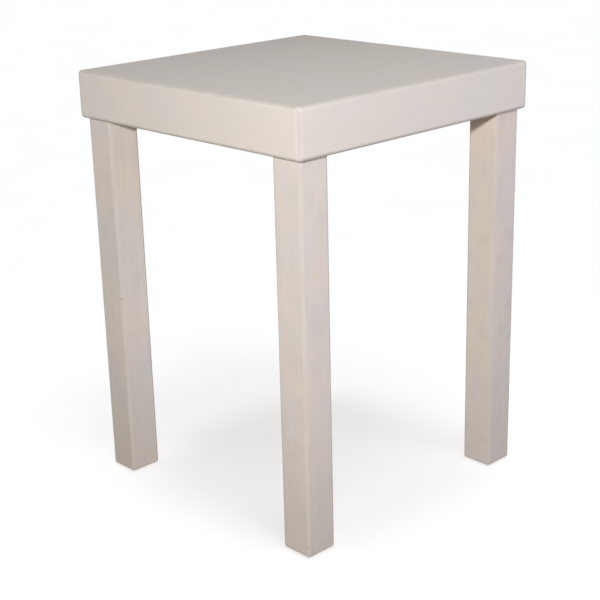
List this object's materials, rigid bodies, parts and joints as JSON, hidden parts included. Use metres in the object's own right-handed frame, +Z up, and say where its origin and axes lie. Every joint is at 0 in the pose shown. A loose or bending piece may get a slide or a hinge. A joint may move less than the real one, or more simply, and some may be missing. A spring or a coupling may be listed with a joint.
{
  "type": "bar table",
  "caption": "Square bar table: a deep boxed top with rolled edges on thick square posts, painted ivory, with bolted corner blocks and glides out of sight.",
  "frame": {"origin": "on the floor, under the middle of the top", "axes": "+Z up, +X to the right and -Y to the front; the picture looks at the edge between the front and the right side"},
  "size_m": [0.8, 0.8, 1.09],
  "materials": {
    "painted_board": "ivory satin paint over filled and sanded board",
    "painted_post": "ivory satin paint over solid wood, brushed along the post",
    "bare_wood": "planed, unfinished",
    "zinc_plate": "bright zinc plated",
    "nylon": "moulded, matt"
  },
  "bodies": {
    "root": {"top_panel": "painted_board", "apron_front": "painted_board", "apron_right": "painted_board", "apron_back": "painted_board", "apron_left": "painted_board", "leg_front_left": "painted_post", "leg_front_right": "painted_post", "leg_back_right": "painted_post", "leg_back_left": "painted_post", "corner_block_front_left": "bare_wood", "corner_block_front_right": "bare_wood", "corner_block_back_right": "bare_wood", "corner_block_back_left": "bare_wood", "cleat_front": "bare_wood", "cleat_right": "bare_wood", "cleat_back": "bare_wood", "cleat_left": "bare_wood", "mitre_splines": "bare_wood", "hanger_bolts": "zinc_plate", "bolt_washers": "zinc_plate", "bolt_nuts": "zinc_plate", "block_screws": "zinc_plate", "cleat_top_screws": "zinc_plate", "cleat_side_screws": "zinc_plate", "glide_front_left": "nylon", "glide_front_right": "nylon", "glide_back_right": "nylon", "glide_back_left": "nylon", "glide_nails": "zinc_plate"}
  },
  "joints": []
}
